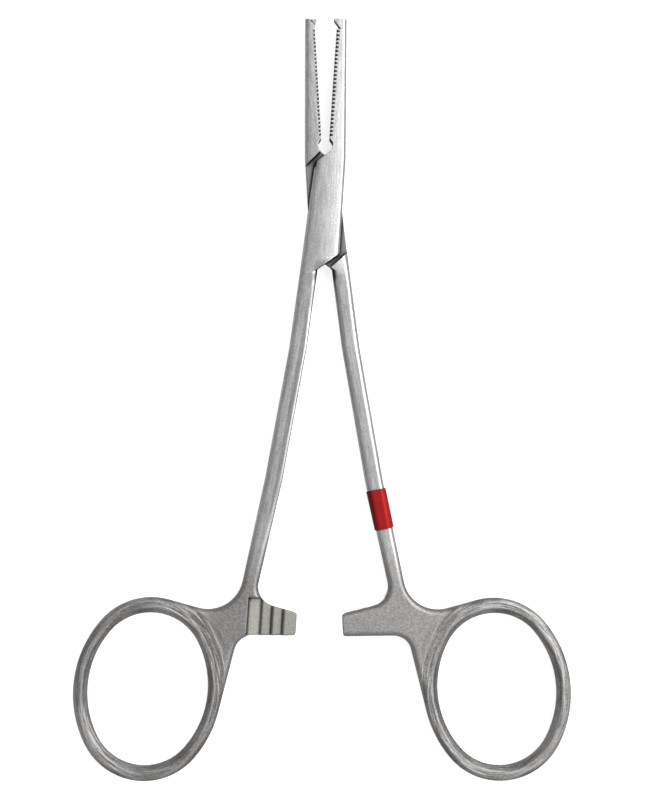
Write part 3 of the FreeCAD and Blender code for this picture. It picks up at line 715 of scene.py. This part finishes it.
def paper_floor():
    """White paper: white in the picture, with a soft shadow, and a quiet grey
    as the steel sees it."""
    level = CAD_BOX[0].z - PAPER_DROP * MM
    signs = ((-1, -1), (1, -1), (1, 1), (-1, 1))
    corners = [(x * PAPER_HALF, y * PAPER_HALF, level) for x, y in signs]
    mesh = bpy.data.meshes.new("paper_floor")
    mesh.from_pydata(corners, [], [(0, 1, 2, 3)])
    floor = bpy.data.objects.new("paper_floor", mesh)
    bpy.context.scene.collection.objects.link(floor)
    material, tree, output = fresh_material("white_paper")
    camera_ray = add(tree, "ShaderNodeLightPath").outputs["Is Camera Ray"]
    tone = blend(tree, camera_ray, rgba((PAPER_MIRRORED,) * 3), rgba((PAPER_SEEN,) * 3))
    matt = add(tree, "ShaderNodeBsdfDiffuse", {"Color": tone})
    fill = maths(tree, "MULTIPLY", camera_ray, PAPER_GLOW)
    glow = add(tree, "ShaderNodeEmission", {"Strength": fill})
    both = add(tree, "ShaderNodeAddShader", {0: matt.outputs[0], 1: glow.outputs[0]})
    tree.links.new(both.outputs[0], output.inputs["Surface"])
    mesh.materials.append(material)


def soft_box(name, place, size, power):
    """Square area lamp that faces the middle of the object."""
    data = bpy.data.lights.new(name, "AREA")
    data.size = size
    data.energy = power
    lamp = bpy.data.objects.new(name, data)
    bpy.context.scene.collection.objects.link(lamp)
    look = bpy.context.scene.hemostat_stage
    lamp.location = place
    towards = Vector((look.middle_x, look.middle_y, 0)) - Vector(place)
    lamp.rotation_euler = towards.to_track_quat("-Z", "Y").to_euler()


class HEMOSTAT_OT_stage(bpy.types.Operator):
    """Lay out the floor, the light and the camera"""

    bl_idname = "hemostat.stage"
    bl_label = "Stage"

    def execute(self, context):
        scene = context.scene
        look = scene.hemostat_stage
        scene.view_settings.view_transform = "Standard"
        studio_world()
        paper_floor()
        soft_box("right_soft_box", place=(0.45, 0.1, 0.55), size=0.4, power=1.6)
        camera_data = bpy.data.cameras.new("camera")
        camera = bpy.data.objects.new("camera", camera_data)
        scene.collection.objects.link(camera)
        camera.location = (look.middle_x - look.left, look.middle_y, MIDDLE_PLANE * MM + look.distance)
        camera.rotation_euler = (0.0, -math.atan2(look.left, look.distance), look.roll)
        camera_data.sensor_width = SENSOR
        camera_data.lens = SENSOR * look.distance / look.field
        camera_data.clip_start = 0.05
        camera_data.clip_end = 10.0
        scene.camera = camera
        return {"FINISHED"}


class HEMOSTAT_PT_finish(bpy.types.Panel):
    """Lists the steps of the finish"""

    bl_idname = "HEMOSTAT_PT_finish"
    bl_label = "Hemostat finish"
    bl_space_type = "VIEW_3D"
    bl_region_type = "UI"
    bl_category = "Hemostat"

    def draw(self, context):
        layout = self.layout
        for step in STEPS:
            layout.operator(step.bl_idname)
        for group in ("hemostat_steel", "hemostat_tape", "hemostat_stage"):
            settings = getattr(context.scene, group)
            box = layout.box()
            for name in settings.__annotations__:
                box.prop(settings, name)


STEPS = (
    HEMOSTAT_OT_box_half,
    HEMOSTAT_OT_male_half,
    HEMOSTAT_OT_pivot_pin,
    HEMOSTAT_OT_marking_band,
    HEMOSTAT_OT_stage,
)
GROUPS = (SteelSettings, TapeSettings, StageSettings)


def register():
    for item in GROUPS + STEPS + (HEMOSTAT_PT_finish,):
        bpy.utils.register_class(item)
    bpy.types.Scene.hemostat_steel = bpy.props.PointerProperty(type=SteelSettings)
    bpy.types.Scene.hemostat_tape = bpy.props.PointerProperty(type=TapeSettings)
    bpy.types.Scene.hemostat_stage = bpy.props.PointerProperty(type=StageSettings)


def unregister():
    del bpy.types.Scene.hemostat_stage
    del bpy.types.Scene.hemostat_tape
    del bpy.types.Scene.hemostat_steel
    for item in reversed(GROUPS + STEPS + (HEMOSTAT_PT_finish,)):
        bpy.utils.unregister_class(item)


def main():
    register()
    bpy.ops.hemostat.box_half()
    bpy.ops.hemostat.male_half()
    bpy.ops.hemostat.pivot_pin()
    bpy.ops.hemostat.marking_band()
    bpy.ops.hemostat.stage()


if __name__ == "__main__":
    main()
